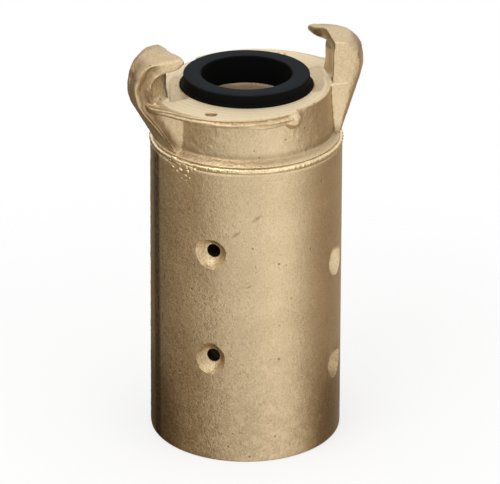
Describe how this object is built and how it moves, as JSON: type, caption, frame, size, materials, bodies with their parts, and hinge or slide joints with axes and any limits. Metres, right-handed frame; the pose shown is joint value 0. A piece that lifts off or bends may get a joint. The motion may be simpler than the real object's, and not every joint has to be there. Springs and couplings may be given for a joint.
{
  "type": "sandblast hose coupling",
  "caption": "Quarter-turn claw coupling for blast hose: a sleeve with clamp screw holes takes the hose, and a head with hooked claws, cam ledges and a face gasket locks to a twin.",
  "frame": {"origin": "centre of the hose mouth, on the plane of its rim", "axes": "+Z runs along the axis from the hose mouth to the claws. X and Y run through the four columns of clamp screw holes. The claws' middles stand 39 degrees from +X and from -X, anticlockwise as seen from +Z."},
  "size_m": [0.0722, 0.0728, 0.1494],
  "materials": {
    "sleeve_brass": "rough sand-cast skin",
    "cast_brass": "cast, with turned faces",
    "braze": "bright, as brazed",
    "gasket_rubber": "matt"
  },
  "bodies": {
    "coupling": {"claw_head": "cast_brass", "hose_sleeve": "sleeve_brass", "braze_ring": "braze"},
    "gasket": {"gasket": "gasket_rubber"}
  },
  "joints": [
    {"name": "gasket_pull", "type": "slide", "parent": "coupling", "child": "gasket", "axis": [0, 0, 1], "range_m": [0, 0.02]}
  ]
}
